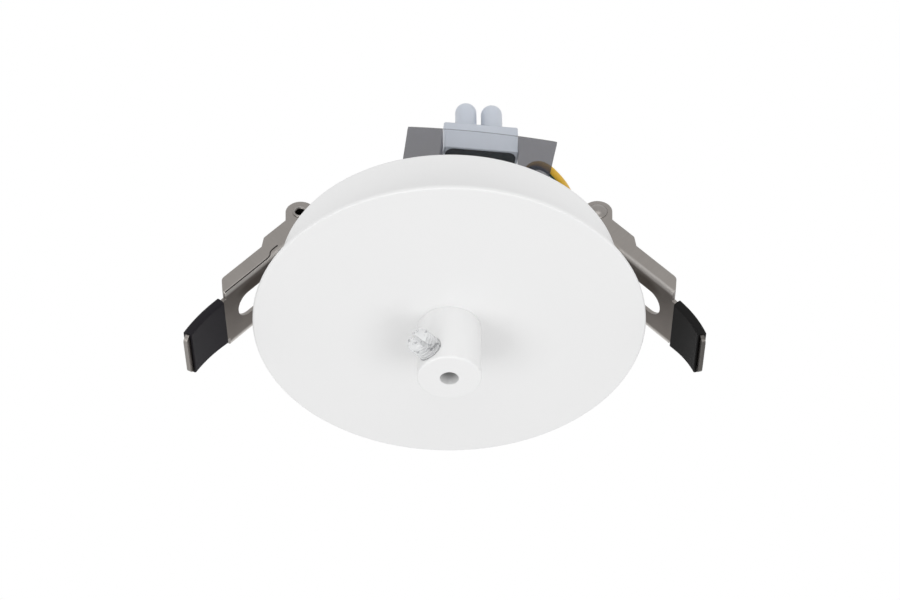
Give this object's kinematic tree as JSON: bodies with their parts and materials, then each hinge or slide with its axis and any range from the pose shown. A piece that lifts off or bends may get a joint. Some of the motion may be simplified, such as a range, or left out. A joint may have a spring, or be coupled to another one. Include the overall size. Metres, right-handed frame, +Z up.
{
  "type": "electrical ceiling rose",
  "caption": "Round recessed ceiling rose: flanged cup with sprung folding clips, a screw cord grip below and a terminal block above.",
  "frame": {"origin": "centre of the flange's upper face, on the cup's axis, where the flange meets the ceiling", "axes": "+Z up into the ceiling along the cup's axis; the cord boss points down; the spring clips stand along X and the camera of the picture is at -Y, below"},
  "size_m": [0.131, 0.1, 0.0804],
  "materials": {
    "white_paint": "matt powder coat",
    "clear_plastic": "clear",
    "zinc_steel": "zinc plated",
    "stainless": "rolled stainless",
    "spring_steel": "drawn wire",
    "black_sleeve": "satin",
    "block_plastic": "translucent",
    "smoky_film": "smooth film",
    "brass": "turned",
    "tinned_copper": "tinned",
    "earth_insulation": "green and yellow stripes"
  },
  "bodies": {
    "base": {"canopy": "white_paint", "cord_grip": "white_paint", "lock_washer": "zinc_steel", "lock_nut": "zinc_steel", "mounting_bracket": "zinc_steel", "terminal_bridge": "zinc_steel", "insulating_film": "smoky_film", "terminal_block": "block_plastic", "block_screw": "zinc_steel", "block_nut": "zinc_steel", "ring_terminal": "tinned_copper", "earth_wire": "earth_insulation", "earth_wire_ends": "tinned_copper", "contact_front": "brass", "contact_middle": "brass", "contact_rear": "brass", "clip_rivet_left": "stainless", "clip_spring_left": "spring_steel", "bridge_stud_left": "zinc_steel", "stud_washer_left": "zinc_steel", "stud_nut_left": "zinc_steel", "clip_rivet_right": "stainless", "clip_spring_right": "spring_steel", "bridge_stud_right": "zinc_steel", "stud_washer_right": "zinc_steel", "stud_nut_right": "zinc_steel"},
    "grip_screw": {"grip_screw": "clear_plastic"},
    "arm_left": {"clip_arm_left": "stainless", "clip_sleeve_left": "black_sleeve"},
    "arm_right": {"clip_arm_right": "stainless", "clip_sleeve_right": "black_sleeve"},
    "screw_front_left": {"clamp_screw_front_left": "zinc_steel"},
    "screw_front_right": {"clamp_screw_front_right": "zinc_steel"},
    "screw_middle_left": {"clamp_screw_middle_left": "zinc_steel"},
    "screw_middle_right": {"clamp_screw_middle_right": "zinc_steel"},
    "screw_rear_left": {"clamp_screw_rear_left": "zinc_steel"},
    "screw_rear_right": {"clamp_screw_rear_right": "zinc_steel"}
  },
  "joints": [
    {"name": "clip_arm_left_fold", "type": "hinge", "parent": "base", "child": "arm_left", "pos_m": [-0.0388, 0, 0.0305], "axis": [0, 1, 0], "range_deg": [0, 150], "stiffness_Nm_per_rad": 0.05, "springref_deg": -57.3, "deforming": ["clip_spring_left"]},
    {"name": "clip_arm_right_fold", "type": "hinge", "parent": "base", "child": "arm_right", "pos_m": [0.0388, 0, 0.0305], "axis": [0, -1, 0], "range_deg": [0, 150], "stiffness_Nm_per_rad": 0.05, "springref_deg": -57.3, "deforming": ["clip_spring_right"]},
    {"name": "grip_screw_travel", "type": "slide", "parent": "base", "child": "grip_screw", "axis": [0.6293, 0.7771, 0], "range_m": [0, 0.0025]},
    {"name": "clamp_screw_front_left_travel", "type": "slide", "parent": "base", "child": "screw_front_left", "axis": [0, 0, -1], "range_m": [0, 0.0019]},
    {"name": "clamp_screw_front_right_travel", "type": "slide", "parent": "base", "child": "screw_front_right", "axis": [0, 0, -1], "range_m": [0, 0.0019]},
    {"name": "clamp_screw_middle_left_travel", "type": "slide", "parent": "base", "child": "screw_middle_left", "axis": [0, 0, -1], "range_m": [0, 0.0019]},
    {"name": "clamp_screw_middle_right_travel", "type": "slide", "parent": "base", "child": "screw_middle_right", "axis": [0, 0, 1], "range_m": [0, 0.004]},
    {"name": "clamp_screw_rear_left_travel", "type": "slide", "parent": "base", "child": "screw_rear_left", "axis": [0, 0, -1], "range_m": [0, 0.0019]},
    {"name": "clamp_screw_rear_right_travel", "type": "slide", "parent": "base", "child": "screw_rear_right", "axis": [0, 0, -1], "range_m": [0, 0.0019]}
  ]
}
